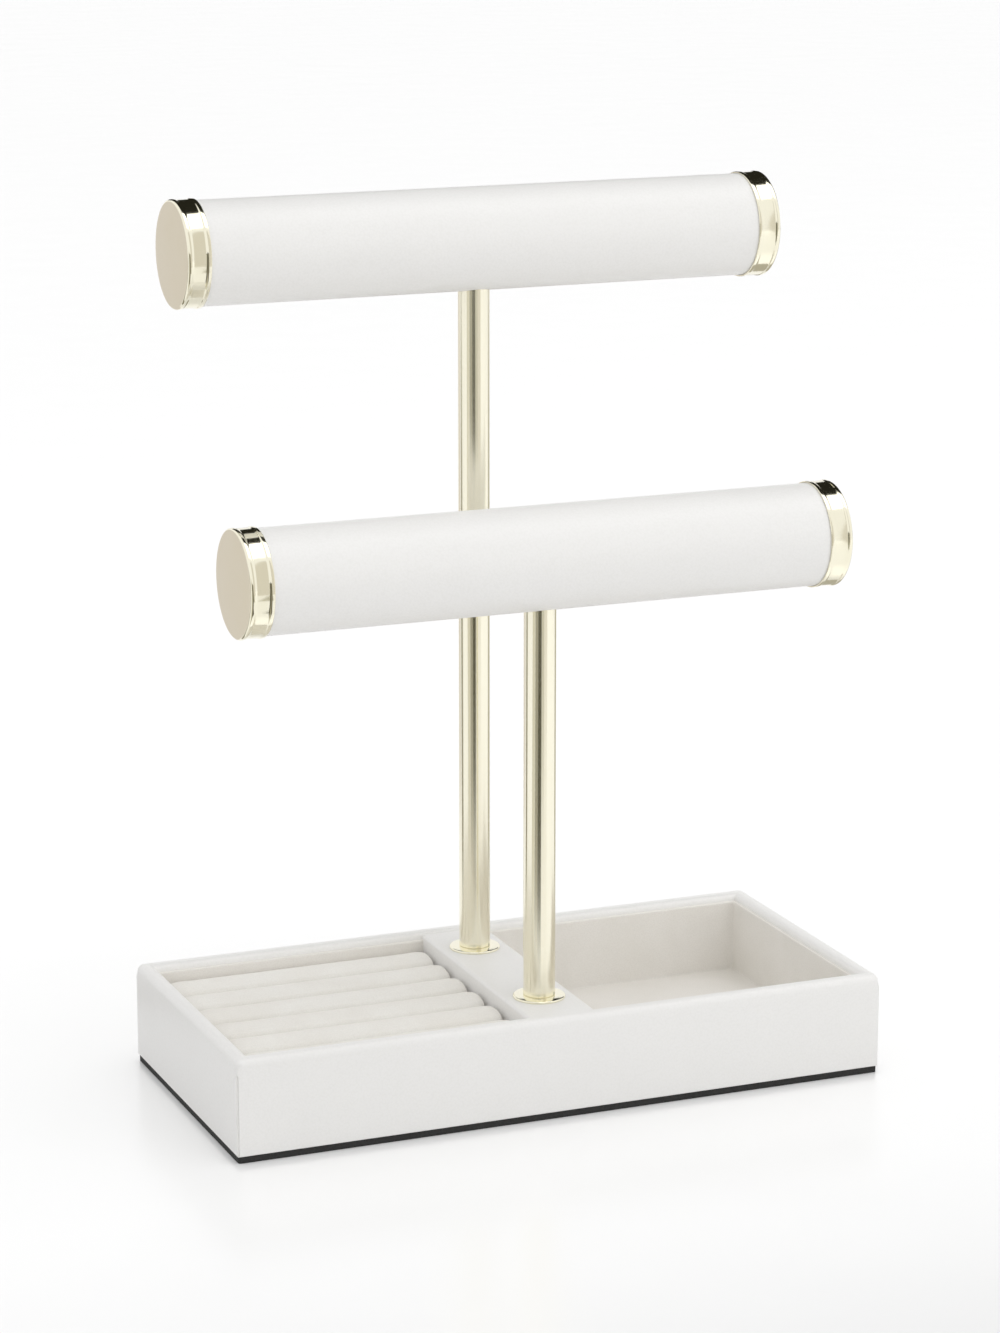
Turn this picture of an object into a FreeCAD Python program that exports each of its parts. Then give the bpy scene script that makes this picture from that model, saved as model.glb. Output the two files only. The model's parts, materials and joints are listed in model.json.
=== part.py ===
"""Two-tier jewelry stand: a lined tray with a ring cushion, two poles and a turning bar on each.

Millimetres. X runs along the bars, Y to the back and Z up. The origin lies under the middle of the tray,
on the surface that the stand rests on.
"""
import FreeCAD
import Part
import Sketcher

import math
import os
import re

# Driving dimensions, each set by itself.
SIZES = {
    # Tray
    "tray_length": 230.0,
    "tray_width": 108.0,
    "tray_height": 34.9,
    "leather": 0.8,
    "wall_board": 4.0,
    "panel_thickness": 3.0,
    "turn_under": 12.0,
    "rim_round": 2.4,
    "pad_thickness": 2.2,
    "pad_inset": 0.4,
    "pad_corner": 1.0,
    "lining": 1.0,
    "lining_drop": 2.4,
    # Bridge between the two compartments
    "bridge_width": 24.0,
    "bridge_drop": 0.8,
    "bridge_round": 1.2,
    # Poles and what holds them down
    "pole_spacing": 57.6,
    "pole_diameter": 10.7,
    "pole_wall": 1.0,
    "flange_diameter": 17.6,
    "flange_thickness": 1.0,
    "plug_length": 14.0,
    "bolt_diameter": 5.0,
    "bolt_reach": 10.0,
    "bolt_head_diameter": 12.0,
    "bolt_head_height": 2.8,
    "spigot_diameter": 6.0,
    "spigot_length": 8.0,
    # Bars
    "bar_length": 210.0,
    "upper_bar_height": 281.0,
    "lower_bar_height": 184.0,
    "cap_diameter": 35.7,
    "cap_depth": 8.0,
    "cap_sheet": 0.5,
    "cap_bevel": 0.6,
    "bar_leather": 0.8,
    "core_wall": 2.5,
    "hub_length": 36.0,
    "socket_top_drop": 2.0,
    "insert_diameter": 9.0,
    "insert_length": 9.0,
    # Ring cushion
    "cushion_board": 1.5,
    "roll_drop": 4.1,
    "roll_gap": 0.35,
    "roll_crown": 16.0,
    "roll_corner": 3.0,
    "roll_end": 4.0,
    "roll_draw_in": 0.8,
    # Clearances
    "glue_gap": 0.1,
    "swivel_clearance": 0.05,
    "hole_clearance": 0.3,
    "cushion_clearance": 0.4,
}

ROLL_COUNT = 6

# How far each section of a roll lies from its end, as a share of the rounded stretch there.
ROLL_END_STEPS = (0.0, 0.3, 1.0)

# The most of a wall's thickness that the rounding on each of its sides may take.
ROUND_SHARE = 0.45

# Levels and widths that follow from the driving dimensions.
DERIVED = {
    "panel_bottom": "pad_thickness + leather",
    "panel_top": "panel_bottom + panel_thickness",
    "board_top": "tray_height - leather",
    "half_length": "tray_length / 2",
    "half_width": "tray_width / 2",
    "wall_total": "2 * leather + wall_board",
    "rim_fillet": "min(rim_round; %s * wall_total)" % ROUND_SHARE,
    "board_limit": "%s * wall_board" % ROUND_SHARE,
    "board_round": "max(min(rim_fillet - leather; board_limit); 0.1)",
    "well_end": "half_length - wall_total",
    "well_side": "half_width - wall_total",
    "floor_top": "panel_top + lining",
    "bridge_half": "bridge_width / 2",
    "bridge_top": "tray_height - bridge_drop",
    "block_half": "bridge_half - leather",
    "block_top": "bridge_top - leather",
    "block_round": "max(bridge_round - leather; 0.1)",
    "flange_top": "bridge_top + flange_thickness",
    "bolt_hole": "bolt_diameter + 2 * hole_clearance",
    "counterbore": "bolt_head_diameter + 2 * hole_clearance",
    "pole_bore": "pole_diameter - 2 * pole_wall",
    "plug_diameter": "pole_bore - 2 * glue_gap",
    "sleeve_diameter": "cap_diameter - 2 * (cap_sheet + glue_gap)",
    "core_diameter": "sleeve_diameter - 2 * bar_leather",
    "core_bore": "core_diameter - 2 * core_wall",
    "core_length": "bar_length - 2 * cap_sheet",
    "hub_diameter": "core_bore - 2 * glue_gap",
    "socket_diameter": "pole_diameter + 2 * swivel_clearance",
    "pole_hole": "pole_diameter + 2 * hole_clearance",
    "insert_bore": "spigot_diameter + 2 * swivel_clearance",
    "board_low_end": "well_end - lining - cushion_clearance",
    "board_high_end": "bridge_half + cushion_clearance",
    "board_side": "well_side - lining - cushion_clearance",
    "roll_pitch": "(2 * board_side + roll_gap) / %d" % ROLL_COUNT,
    "roll_half": "(roll_pitch - roll_gap) / 2",
    "roll_low": "floor_top + cushion_board",
    "roll_crest": "tray_height - roll_drop",
}

# Places in a sketch's numbering: its origin and vertical axis, and the points of a line or an arc.
ORIGIN, VERTICAL_AXIS = -1, -2
START, END, CENTRE = 1, 2, 3

THROUGH_ALL = "ThroughAll"
TOLERANCE = 1e-4

document = FreeCAD.newDocument("JewelryStand")


def add_sheets():
    """Puts the driving dimensions in one sheet and what follows from them in another."""
    sizes = document.addObject("Spreadsheet::Sheet", "Sizes")
    for row, (name, value) in enumerate(SIZES.items(), start=1):
        sizes.set("A%d" % row, name)
        sizes.set("B%d" % row, str(value))
        sizes.setAlias("B%d" % row, name)
    document.recompute()
    derived = document.addObject("Spreadsheet::Sheet", "Derived")
    for row, (name, text) in enumerate(DERIVED.items(), start=1):
        derived.set("A%d" % row, name)
        derived.set("B%d" % row, "=" + formula(text))
        derived.setAlias("B%d" % row, name)
        document.recompute()


def formula(text):
    """Points each dimension's name in a formula at the sheet that holds it."""
    def owner(match):
        word = match.group(0)
        if word in SIZES:
            return "Sizes." + word
        if word in DERIVED:
            return "Derived." + word
        return word
    return re.sub(r"[a-z_]+", owner, text)


def measure(text):
    """The present value of a formula."""
    return float(document.getObject("Sizes").evalExpression(formula(text)))


def bind(thing, field, text):
    """Ties a property of an object to a formula."""
    thing.setExpression(field, formula(text))


def new_body(node, along=None, across=None, up=None):
    """A body whose label is its node's name, placed by formulas."""
    body = document.addObject("PartDesign::Body", node)
    body.Label = node
    for axis, text in (("x", along), ("y", across), ("z", up)):
        if text is not None:
            bind(body, "Placement.Base." + axis, text)
    return body


def new_sketch(body, plane, offset=None):
    """A sketch on one of the body's own origin planes, moved along the plane's normal."""
    sketch = body.newObject("Sketcher::SketchObject", body.Label + "_sketch")
    support = [item for item in body.Origin.OriginFeatures if item.Role == plane]
    sketch.AttachmentSupport = (support[0], [""])
    sketch.MapMode = "FlatFace"
    if offset is not None:
        bind(sketch, "AttachmentOffset.Base.z", offset)
    return sketch


def tie(sketch, kind, geometry, point, text):
    """Ties one coordinate of a sketch point to a formula."""
    rule = Sketcher.Constraint(kind, ORIGIN, START, geometry, point, measure(text))
    bind(sketch, "Constraints[%d]" % sketch.addConstraint(rule), text)


def draw_rectangle(sketch, left, right, low, high):
    """A rectangle with each of its four sides on a formula."""
    xs = (measure(left), measure(right), measure(right), measure(left))
    ys = (measure(low), measure(low), measure(high), measure(high))
    corners = [FreeCAD.Vector(x, y, 0) for x, y in zip(xs, ys)]
    first = sketch.GeometryCount
    for side in range(4):
        sketch.addGeometry(Part.LineSegment(corners[side], corners[(side + 1) % 4]), False)
    for side in range(4):
        joined = first + (side + 1) % 4
        sketch.addConstraint(Sketcher.Constraint("Coincident", first + side, END, joined, START))
        level = "Horizontal" if side % 2 == 0 else "Vertical"
        sketch.addConstraint(Sketcher.Constraint(level, first + side))
    tie(sketch, "DistanceX", first, START, left)
    tie(sketch, "DistanceX", first + 1, START, right)
    tie(sketch, "DistanceY", first, START, low)
    tie(sketch, "DistanceY", first + 2, START, high)


def draw_circle(sketch, diameter, across=None):
    """A circle on the sketch's origin, or moved up its vertical axis by a formula."""
    centre = FreeCAD.Vector(0, measure(across) if across else 0, 0)
    circle = Part.Circle(centre, FreeCAD.Vector(0, 0, 1), measure(diameter) / 2)
    index = sketch.addGeometry(circle, False)
    if across:
        sketch.addConstraint(Sketcher.Constraint("PointOnObject", index, CENTRE, VERTICAL_AXIS))
        tie(sketch, "DistanceY", index, CENTRE, across)
    else:
        sketch.addConstraint(Sketcher.Constraint("Coincident", index, CENTRE, ORIGIN, START))
    rule = Sketcher.Constraint("Diameter", index, measure(diameter))
    bind(sketch, "Constraints[%d]" % sketch.addConstraint(rule), diameter)


def pad(sketch, length, both_ways=False):
    """Extrudes a sketch along its normal, or half each way."""
    body = sketch.getParentGeoFeatureGroup()
    feature = body.newObject("PartDesign::Pad", body.Label + "_pad")
    feature.Profile = sketch
    bind(feature, "Length", length)
    if both_ways:
        feature.SideType = "Symmetric"
    document.recompute()
    return feature


def pocket(sketch, depth, upward=False):
    """Cuts a sketch out of its body, against the sketch's normal or along it, and checks that it cuts."""
    body = sketch.getParentGeoFeatureGroup()
    before = body.Shape.Volume
    feature = body.newObject("PartDesign::Pocket", body.Label + "_pocket")
    feature.Profile = sketch
    feature.Reversed = upward
    if depth == THROUGH_ALL:
        feature.Type = THROUGH_ALL
    else:
        bind(feature, "Length", depth)
    document.recompute()
    if body.Shape.Volume > before - TOLERANCE:
        raise RuntimeError(body.Label + ": a pocket cuts nothing")
    return feature


def dress_edges(body, kind, field, size, wanted):
    """Dresses the edges of the body's last feature that the given test wants."""
    base = body.Tip
    edges = enumerate(base.Shape.Edges, start=1)
    names = ["Edge%d" % number for number, edge in edges if wanted(edge.BoundBox)]
    if not names:
        raise RuntimeError(body.Label + ": no edge to dress")
    feature = body.newObject("PartDesign::" + kind, "%s_%s" % (body.Label, kind.lower()))
    feature.Base = (base, names)
    bind(feature, field, size)
    document.recompute()
    return feature


def fillet(body, radius, wanted):
    """Rounds the wanted edges."""
    return dress_edges(body, "Fillet", "Radius", radius, wanted)


def bevel(body, size, wanted):
    """Takes the wanted edges off at 45 degrees."""
    return dress_edges(body, "Chamfer", "Size", size, wanted)


def is_upright(box):
    """Whether an edge's box is that of a vertical edge."""
    return box.XLength < TOLERANCE and box.YLength < TOLERANCE


def lies_at(box, level):
    """Whether an edge's box is flat and lies at the height of a formula."""
    height = measure(level)
    return abs(box.ZMin - height) < TOLERANCE and abs(box.ZMax - height) < TOLERANCE


def make_base_pad():
    """Foam pad under the tray; its middle is raised to fill the space inside the turned-under leather."""
    body = new_body("base_pad")
    outline = new_sketch(body, "XY_Plane")
    end = "half_length - pad_inset"
    side = "half_width - pad_inset"
    draw_rectangle(outline, "-(%s)" % end, end, "-(%s)" % side, side)
    pad(outline, "pad_thickness")
    fillet(body, "pad_corner", is_upright)
    middle = new_sketch(body, "XY_Plane", "pad_thickness")
    end = "half_length - turn_under - hole_clearance"
    side = "half_width - turn_under - hole_clearance"
    draw_rectangle(middle, "-(%s)" % end, end, "-(%s)" % side, side)
    pad(middle, "leather")
    return body


def make_bottom_panel():
    """Board that the walls and the bridge stand on."""
    body = new_body("bottom_panel")
    outline = new_sketch(body, "XY_Plane", "panel_bottom")
    end = "half_length - leather"
    side = "half_width - leather"
    draw_rectangle(outline, "-(%s)" % end, end, "-(%s)" % side, side)
    pad(outline, "panel_thickness")
    return body


def make_long_wall(node, facing):
    """Front or back board, the full length of the tray inside its leather; facing is -1 or 1 along Y."""
    body = new_body(node)
    outline = new_sketch(body, "XY_Plane", "panel_top")
    end = "half_length - leather"
    inner = "%d * (half_width - leather - wall_board)" % facing
    outer = "%d * (half_width - leather)" % facing
    low, high = (inner, outer) if facing > 0 else (outer, inner)
    draw_rectangle(outline, "-(%s)" % end, end, low, high)
    pad(outline, "board_top - panel_top")
    fillet(body, "board_round", lambda box: lies_at(box, "board_top"))
    return body


def make_short_wall(node, facing):
    """Left or right board between the two long ones; facing is -1 or 1 along X."""
    body = new_body(node)
    outline = new_sketch(body, "XY_Plane", "panel_top")
    side = "half_width - leather - wall_board"
    inner = "%d * (half_length - leather - wall_board)" % facing
    outer = "%d * (half_length - leather)" % facing
    left, right = (inner, outer) if facing > 0 else (outer, inner)
    draw_rectangle(outline, left, right, "-(%s)" % side, side)
    pad(outline, "board_top - panel_top")
    fillet(body, "board_round", lambda box: lies_at(box, "board_top") and box.XLength < TOLERANCE)
    return body


def make_tray_wrap():
    """Leather drawn over the walls: outside, over the rim, down inside, and turned under the panel."""
    body = new_body("tray_wrap")
    outline = new_sketch(body, "XY_Plane", "pad_thickness")
    draw_rectangle(outline, "-half_length", "half_length", "-half_width", "half_width")
    pad(outline, "tray_height - pad_thickness")
    well = new_sketch(body, "XY_Plane", "tray_height")
    draw_rectangle(well, "-well_end", "well_end", "-well_side", "well_side")
    pocket(well, "tray_height - panel_bottom")
    fillet(body, "rim_fillet", lambda box: lies_at(box, "tray_height"))
    seat = new_sketch(body, "XY_Plane", "panel_top")
    end = "half_length - leather"
    side = "half_width - leather"
    draw_rectangle(seat, "-(%s)" % end, end, "-(%s)" % side, side)
    pocket(seat, "panel_thickness")
    channel = new_sketch(body, "XY_Plane", "panel_top")
    draw_rectangle(channel, "-(%s)" % end, end, "-(%s)" % side, side)
    end = "half_length - leather - wall_board"
    side = "half_width - leather - wall_board"
    draw_rectangle(channel, "-(%s)" % end, end, "-(%s)" % side, side)
    pocket(channel, "board_top - panel_top", upward=True)
    fillet(body, "board_round", lambda box: lies_at(box, "board_top"))
    mouth = new_sketch(body, "XY_Plane", "panel_bottom")
    end = "half_length - turn_under"
    side = "half_width - turn_under"
    draw_rectangle(mouth, "-(%s)" % end, end, "-(%s)" % side, side)
    pocket(mouth, THROUGH_ALL)
    return body


def make_lining(node, facing):
    """Velvet on card over a compartment's floor and three of its walls; the bridge is the fourth."""
    body = new_body(node)
    outline = new_sketch(body, "XY_Plane", "panel_top")
    near = "%d * bridge_half" % facing
    far = "%d * well_end" % facing
    left, right = (near, far) if facing > 0 else (far, near)
    draw_rectangle(outline, left, right, "-well_side", "well_side")
    pad(outline, "tray_height - lining_drop - panel_top")
    hollow = new_sketch(body, "XY_Plane", "tray_height")
    far = "%d * (well_end - lining)" % facing
    left, right = (near, far) if facing > 0 else (far, near)
    draw_rectangle(hollow, left, right, "-(well_side - lining)", "well_side - lining")
    pocket(hollow, "tray_height - floor_top")
    return body


def make_bridge_block():
    """Solid block across the tray, bored and counterbored from below for the captive bolts."""
    body = new_body("bridge_block")
    outline = new_sketch(body, "XY_Plane", "panel_top")
    draw_rectangle(outline, "-block_half", "block_half", "-well_side", "well_side")
    pad(outline, "block_top - panel_top")
    fillet(body, "block_round", lambda box: lies_at(box, "block_top") and box.XLength < TOLERANCE)
    for diameter, depth in (("bolt_hole", THROUGH_ALL), ("counterbore", "bolt_head_height")):
        bores = new_sketch(body, "XY_Plane", "panel_top")
        draw_circle(bores, diameter, "pole_spacing / 2")
        draw_circle(bores, diameter, "-pole_spacing / 2")
        pocket(bores, depth, upward=True)
    return body


def make_bridge_cover():
    """Leather over the top and the two long sides of the bridge."""
    body = new_body("bridge_cover")
    outline = new_sketch(body, "XY_Plane", "panel_top")
    draw_rectangle(outline, "-bridge_half", "bridge_half", "-well_side", "well_side")
    pad(outline, "bridge_top - panel_top")
    fillet(body, "bridge_round", lambda box: lies_at(box, "bridge_top") and box.XLength < TOLERANCE)
    inside = new_sketch(body, "XY_Plane", "panel_top")
    draw_rectangle(inside, "-block_half", "block_half", "-well_side", "well_side")
    pocket(inside, "block_top - panel_top", upward=True)
    fillet(body, "block_round", lambda box: lies_at(box, "block_top") and box.XLength < TOLERANCE)
    bores = new_sketch(body, "XY_Plane", "bridge_top")
    draw_circle(bores, "bolt_hole", "pole_spacing / 2")
    draw_circle(bores, "bolt_hole", "-pole_spacing / 2")
    pocket(bores, "2 * leather")
    return body


def make_pole_set(which, facing, bar_height):
    """One pole with its flange, plugs and captive bolt; facing is 1 at the back and -1 at the front."""
    across = "%d * pole_spacing / 2" % facing
    pole_top = "%s - socket_top_drop" % bar_height

    bolt = new_body(which + "_base_bolt", across=across, up="panel_top")
    head = new_sketch(bolt, "XY_Plane")
    draw_circle(head, "bolt_head_diameter")
    pad(head, "bolt_head_height")
    shank = new_sketch(bolt, "XY_Plane")
    draw_circle(shank, "bolt_diameter")
    pad(shank, "flange_top + bolt_reach - panel_top")

    flange = make_ring(which + "_pole_flange", across, "bridge_top",
                       "flange_diameter", "bolt_hole", "flange_thickness")
    tube = make_ring(which + "_pole", across, "flange_top",
                     "pole_diameter", "pole_bore", "%s - flange_top" % pole_top)
    foot = make_ring(which + "_foot_plug", across, "flange_top",
                     "plug_diameter", "bolt_diameter + 2 * glue_gap", "plug_length")

    plug = new_body(which + "_head_plug", across=across, up="%s - plug_length" % pole_top)
    stem = new_sketch(plug, "XY_Plane")
    draw_circle(stem, "plug_diameter")
    pad(stem, "plug_length")
    spigot = new_sketch(plug, "XY_Plane", "plug_length")
    draw_circle(spigot, "spigot_diameter")
    pad(spigot, "spigot_length")
    return [bolt, flange, tube, foot, plug]


def make_ring(node, across, up, outer, inner, height):
    """An upright ring or tube."""
    body = new_body(node, across=across, up=up)
    outline = new_sketch(body, "XY_Plane")
    draw_circle(outline, outer)
    draw_circle(outline, inner)
    pad(outline, height)
    return body


def make_bar(which, facing, bar_height):
    """One bar on its pole: core tube, leather sleeve, two end caps, hub and brass insert."""
    across = "%d * pole_spacing / 2" % facing
    pieces = []
    layers = (("core", "core_diameter", "core_bore"), ("sleeve", "sleeve_diameter", "core_diameter"))
    for layer, outer, inner in layers:
        tube = new_body("%s_bar_%s" % (which, layer), across=across, up=bar_height)
        outline = new_sketch(tube, "YZ_Plane")
        draw_circle(outline, outer)
        draw_circle(outline, inner)
        pad(outline, "core_length", both_ways=True)
        hole = new_sketch(tube, "XY_Plane")
        draw_circle(hole, "pole_hole")
        pocket(hole, THROUGH_ALL)
        pieces.append(tube)

    for side, turn in (("left", -1), ("right", 1)):
        cap = new_body("%s_%s_cap" % (which, side), "%d * bar_length / 2" % turn, across, bar_height)
        outline = new_sketch(cap, "YZ_Plane", "%d * cap_depth / 2" % -turn)
        draw_circle(outline, "cap_diameter")
        pad(outline, "cap_depth", both_ways=True)
        bevel(cap, "cap_bevel", lambda box: box.XLength < TOLERANCE and abs(box.XMin) < TOLERANCE)
        cup = new_sketch(cap, "YZ_Plane", "%d * cap_sheet" % -turn)
        draw_circle(cup, "cap_diameter - 2 * cap_sheet")
        pocket(cup, THROUGH_ALL, upward=turn < 0)
        pieces.append(cap)

    hub = new_body(which + "_bar_hub", across=across, up=bar_height)
    outline = new_sketch(hub, "YZ_Plane")
    draw_circle(outline, "hub_diameter")
    pad(outline, "hub_length", both_ways=True)
    socket = new_sketch(hub, "XY_Plane", "-socket_top_drop")
    draw_circle(socket, "socket_diameter")
    pocket(socket, THROUGH_ALL)
    seat = new_sketch(hub, "XY_Plane", "-socket_top_drop")
    draw_circle(seat, "insert_diameter + 2 * glue_gap")
    pocket(seat, "insert_length", upward=True)
    pieces.append(hub)

    pieces.append(make_ring(which + "_bar_insert", across, "%s - socket_top_drop" % bar_height,
                            "insert_diameter", "insert_bore", "insert_length"))
    return pieces


def make_cushion():
    """Lift-out ring cushion: a board with soft rolls side by side on it."""
    board = new_body("cushion_board", up="floor_top")
    outline = new_sketch(board, "XY_Plane")
    draw_rectangle(outline, "-board_low_end", "-board_high_end", "-board_side", "board_side")
    pad(outline, "cushion_board")
    pieces = [board]
    for number in range(1, ROLL_COUNT + 1):
        row = number - (ROLL_COUNT + 1) / 2
        pieces.append(make_roll("ring_roll_%d" % number, "%s * roll_pitch" % row))
    return pieces


def make_roll(node, across):
    """A roll with flat sides and a crowned top, drawn in and rounded off towards both its ends."""
    body = new_body(node, across=across)
    stations = [("-board_low_end + %s * roll_end" % step, step) for step in ROLL_END_STEPS]
    stations += [("-board_high_end - %s * roll_end" % step, step) for step in reversed(ROLL_END_STEPS)]
    sections = []
    for place, step in stations:
        drawn_in = "%s * roll_draw_in" % (1 - step) ** 2
        section = new_sketch(body, "YZ_Plane", place)
        draw_roll_section(section, "roll_half - " + drawn_in, "roll_crest - " + drawn_in)
        sections.append(section)
    document.recompute()
    feature = body.newObject("PartDesign::AdditiveLoft", node + "_loft")
    feature.Profile = sections[0]
    feature.Sections = sections[1:]
    feature.Ruled = True
    document.recompute()
    return body


def draw_roll_section(sketch, half, crest):
    """A flat bottom, two upright sides, and a crown that turns into them over two rounded corners."""
    low = measure("roll_low")
    reach = measure(half)
    corner = measure("roll_corner")
    crown = measure("roll_crown")
    crown_height = measure(crest) - crown
    corner_place = reach - corner
    corner_height = crown_height + ((crown - corner) ** 2 - corner_place ** 2) ** 0.5
    turn = math.acos(corner_place / (crown - corner))

    points = [FreeCAD.Vector(x, y, 0) for x, y in
              ((-reach, corner_height), (-reach, low), (reach, low), (reach, corner_height))]
    left, bottom, right = (sketch.addGeometry(Part.LineSegment(one, other), False)
                           for one, other in zip(points, points[1:]))
    arcs = ((corner_place, corner_height, corner, 0, turn),
            (0, crown_height, crown, turn, math.pi - turn),
            (-corner_place, corner_height, corner, math.pi - turn, math.pi))
    chain = [right]
    for x, y, radius, begin, finish in arcs:
        circle = Part.Circle(FreeCAD.Vector(x, y, 0), FreeCAD.Vector(0, 0, 1), radius)
        chain.append(sketch.addGeometry(Part.ArcOfCircle(circle, begin, finish), False))
    chain.append(left)

    for one, other in ((left, bottom), (bottom, right)):
        sketch.addConstraint(Sketcher.Constraint("Coincident", one, END, other, START))
    for one, other in zip(chain, chain[1:]):
        sketch.addConstraint(Sketcher.Constraint("Tangent", one, END, other, START))
    sketch.addConstraint(Sketcher.Constraint("Horizontal", bottom))
    sketch.addConstraint(Sketcher.Constraint("Vertical", left))
    sketch.addConstraint(Sketcher.Constraint("Vertical", right))
    crown_arc = chain[2]
    sketch.addConstraint(Sketcher.Constraint("PointOnObject", crown_arc, CENTRE, VERTICAL_AXIS))
    tie(sketch, "DistanceX", bottom, START, "-(%s)" % half)
    tie(sketch, "DistanceX", bottom, END, half)
    tie(sketch, "DistanceY", bottom, START, "roll_low")
    tie(sketch, "DistanceY", crown_arc, CENTRE, "%s - roll_crown" % crest)
    for arc, radius in zip(chain[1:4], ("roll_corner", "roll_crown", "roll_corner")):
        rule = Sketcher.Constraint("Radius", arc, measure(radius))
        bind(sketch, "Constraints[%d]" % sketch.addConstraint(rule), radius)


def make_stand():
    """Every sub-part of the stand."""
    pieces = [make_base_pad(), make_bottom_panel()]
    pieces += [make_long_wall("front_wall", -1), make_long_wall("back_wall", 1)]
    pieces += [make_short_wall("left_wall", -1), make_short_wall("right_wall", 1)]
    pieces += [make_tray_wrap()]
    pieces += [make_lining("left_lining", -1), make_lining("right_lining", 1)]
    pieces += [make_bridge_block(), make_bridge_cover()]
    pieces += make_pole_set("rear", 1, "upper_bar_height")
    pieces += make_pole_set("front", -1, "lower_bar_height")
    pieces += make_bar("upper", 1, "upper_bar_height")
    pieces += make_bar("lower", -1, "lower_bar_height")
    pieces += make_cushion()
    return pieces


def check_objects(pieces):
    """Stops if any object failed or any sub-part has no valid shape."""
    for thing in document.Objects:
        if "Invalid" in thing.State or "Error" in thing.State:
            raise RuntimeError("%s did not build: %s" % (thing.Label, thing.State))
    for piece in pieces:
        if piece.Shape.isNull() or not piece.Shape.isValid():
            raise RuntimeError(piece.Label + " has no valid shape")


def write_steps(pieces):
    """Writes one file for each sub-part."""
    os.makedirs("parts", exist_ok=True)
    for piece in pieces:
        piece.Shape.exportStep("parts/%s.step" % piece.Label)


add_sheets()
stand = make_stand()
document.recompute()
check_objects(stand)
write_steps(stand)
print("%d sub-parts written" % len(stand))
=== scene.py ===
"""Looks of a two-tier jewelry stand: leather tray, velvet compartments, ring rolls, plated poles and bars."""

import json
import math

import bmesh
import bpy
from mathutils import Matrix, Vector


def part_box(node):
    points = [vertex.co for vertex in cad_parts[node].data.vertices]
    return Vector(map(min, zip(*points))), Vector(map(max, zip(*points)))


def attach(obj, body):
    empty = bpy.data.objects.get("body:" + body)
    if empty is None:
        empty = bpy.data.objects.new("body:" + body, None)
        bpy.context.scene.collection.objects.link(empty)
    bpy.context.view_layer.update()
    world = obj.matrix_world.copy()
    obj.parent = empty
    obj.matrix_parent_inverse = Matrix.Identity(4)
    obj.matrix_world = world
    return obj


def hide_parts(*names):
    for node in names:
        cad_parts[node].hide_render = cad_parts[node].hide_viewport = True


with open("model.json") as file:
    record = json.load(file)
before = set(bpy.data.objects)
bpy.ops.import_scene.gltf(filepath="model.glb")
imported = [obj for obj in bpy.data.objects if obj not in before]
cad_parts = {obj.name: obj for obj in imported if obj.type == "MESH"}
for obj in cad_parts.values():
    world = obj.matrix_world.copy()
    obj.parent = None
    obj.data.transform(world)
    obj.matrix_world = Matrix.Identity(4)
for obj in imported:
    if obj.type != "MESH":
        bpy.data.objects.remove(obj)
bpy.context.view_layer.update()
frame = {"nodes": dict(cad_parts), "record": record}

MM = 0.001
# Places this close are taken as one, and points this close are merged.
CLOSE = 0.02 * MM
MERGE = CLOSE / 10
# A direction with this share along an axis is taken to run along it, or to run straight along it.
LEVEL = 0.9
STRAIGHT = 0.99

# Sizes of the covering, plating and stuffing work.
LEATHER = 0.8 * MM
RIM_WIDTH = 5.6 * MM
RIM_ROUND = 2.4 * MM
TURN_UNDER = 12.0 * MM
CORNER_DROP = 3.0 * MM
FOLD_WIDTH = 0.7 * MM
FOLD_DEPTH = 0.75 * MM
BOTTOM_ROUND = 0.5 * MM
LINING = 1.0 * MM
LINING_ROUND = 0.6 * MM
LINING_LIP = 0.7 * MM
BRIDGE_ROUND = 1.2 * MM
BOLT_HOLE = 2.8 * MM
BOLT_HOLE_DEPTH = 4 * LEATHER
POLE_WALL = 1.0 * MM
POLE_EDGE = 0.25 * MM
POLE_HOLE = 5.65 * MM
FLANGE_FOOT_ROUND = 0.12 * MM
FLANGE_SIDE_SHARE = 0.75
FLANGE_SIDE_ROUND = 0.45 * MM
FLANGE_SLOPE = 2.0 * MM
FLANGE_TOP_ROUND = 0.4 * MM
CAP_SHEET = 0.5 * MM
CAP_FACE_ROUND = 0.8 * MM
CAP_FACE_RIM = 1.4 * MM
CAP_MOUTH_RIM = 1.2 * MM
CAP_RIM_ROUND = 0.2 * MM
CAP_BAND_DEPTH = 0.26 * MM
CAP_BAND_SLOPE = 0.5 * MM
CAP_BAND_ROUND = 0.25 * MM
CAP_MOUTH_ROUND = 0.25 * MM
CAP_MOUTH_INSIDE_ROUND = 0.1 * MM
CAP_INSIDE_ROUND = 0.3 * MM
SEAM_DEPTH = 0.25 * MM
SEAM_ANGLE = math.radians(-40)

# How finely round forms are divided, and up to which angle they are shaded as smooth.
ROUND_STEPS = 128
HOLE_STEPS = ROUND_STEPS // 2
ROUND_SEGMENTS = 6
LIP_SEGMENTS = 4
BOTTOM_SEGMENTS = 3
FOLD_SEGMENTS = 2
SMOOTH_ANGLE = math.radians(32)

# Stuffing of the ring rolls, simulated ten times as large so that the cloth solver keeps its accuracy.
ROLL_COUNT = 6
SIMULATION_SCALE = 10.0
ROLL_SLACK = 0.4 * MM
ROLL_RISE = 0.3 * MM
ROLL_VOXEL = 0.9 * MM
ROLL_SWELL = 0.7 * MM
ROLL_PRESSURE = 2.5
ROLL_FRAMES = 20
ROLL_UNEVEN = 0.16 * MM
ROLL_UNEVEN_SIZE = 18.0 * MM

# The photograph's viewpoint.
CAMERA_PLACE = (-0.48456, -1.17590, 0.45431)
CAMERA_DOWN = 13.839
CAMERA_AZIMUTH = -22.299
CAMERA_LENS = 105.81

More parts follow.
